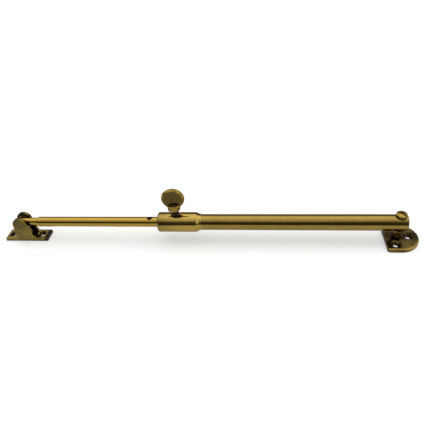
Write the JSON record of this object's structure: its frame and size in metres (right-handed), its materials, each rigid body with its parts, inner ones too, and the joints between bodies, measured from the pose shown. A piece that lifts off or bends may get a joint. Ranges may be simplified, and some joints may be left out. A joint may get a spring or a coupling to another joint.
{
  "type": "telescopic casement stay",
  "caption": "Telescopic casement window stay: a rod slides in a pivoted tube, held by a thumbscrew lock collar, between a forked sash bracket and a D-shaped frame plate.",
  "frame": {"origin": "on the tube's pivot axis, at the seating (under) face of the frame plate", "axes": "+Z out of the mounting plane along the pivot axis; the tube and rod run towards -X; the front of the stay faces -Y"},
  "size_m": [0.3258, 0.03, 0.0471],
  "materials": {
    "antique_brass": "antique, brushed lengthwise and lightly lacquered",
    "dark_brass": "antique, darker",
    "bearing_bronze": "machined, oiled",
    "spring_steel": "satin"
  },
  "bodies": {
    "frame_bracket": {"frame_plate": "antique_brass", "pivot_post": "antique_brass", "pivot_screw": "antique_brass", "pivot_washer_lower": "bearing_bronze", "pivot_washer_upper": "bearing_bronze", "pivot_spring_washer": "spring_steel"},
    "tube": {"outer_tube": "antique_brass", "tube_end_plug": "antique_brass", "lock_collar": "antique_brass", "mouth_bush": "bearing_bronze", "stop_bush": "bearing_bronze"},
    "carriage": {"rod_guide_sleeve": "bearing_bronze"},
    "rod": {"inner_rod": "antique_brass", "rod_thrust_washer": "bearing_bronze", "rod_end_clip": "spring_steel"},
    "sash_fork": {"sash_bracket": "antique_brass", "fork_pin": "dark_brass", "fork_washer_front": "bearing_bronze", "fork_washer_back": "bearing_bronze"},
    "lock_pad": {"brake_pad": "bearing_bronze"},
    "thumbscrew": {"thumbscrew_stud": "dark_brass", "thumbscrew_boss": "antique_brass", "thumbscrew_disc": "antique_brass"}
  },
  "joints": [
    {"name": "tube_pivot", "type": "hinge", "parent": "frame_bracket", "child": "tube", "pos_m": [0, 0, 0.016], "axis": [0, 0, 1], "continuous": true},
    {"name": "rod_slide", "type": "slide", "parent": "tube", "child": "carriage", "axis": [1, 0, 0], "range_m": [-0.038, 0.09]},
    {"name": "rod_roll", "type": "hinge", "parent": "carriage", "child": "rod", "pos_m": [-0.106, 0, 0.016], "axis": [1, 0, 0], "continuous": true},
    {"name": "sash_hinge", "type": "hinge", "parent": "rod", "child": "sash_fork", "pos_m": [-0.2928, 0, 0.016], "axis": [0, 1, 0], "range_deg": [-24, 204]},
    {"name": "pad_lift", "type": "slide", "parent": "tube", "child": "lock_pad", "axis": [0, 0, 1], "range_m": [0, 0.002]},
    {"name": "thumbscrew_turn", "type": "hinge", "parent": "lock_pad", "child": "thumbscrew", "pos_m": [-0.1658, 0, 0.0217], "axis": [0, 0, 1], "range_deg": [0, 720]}
  ],
  "couplings": [
    {"joint": "pad_lift", "follows": "thumbscrew_turn", "m_per_rad": 0.00015915}
  ]
}
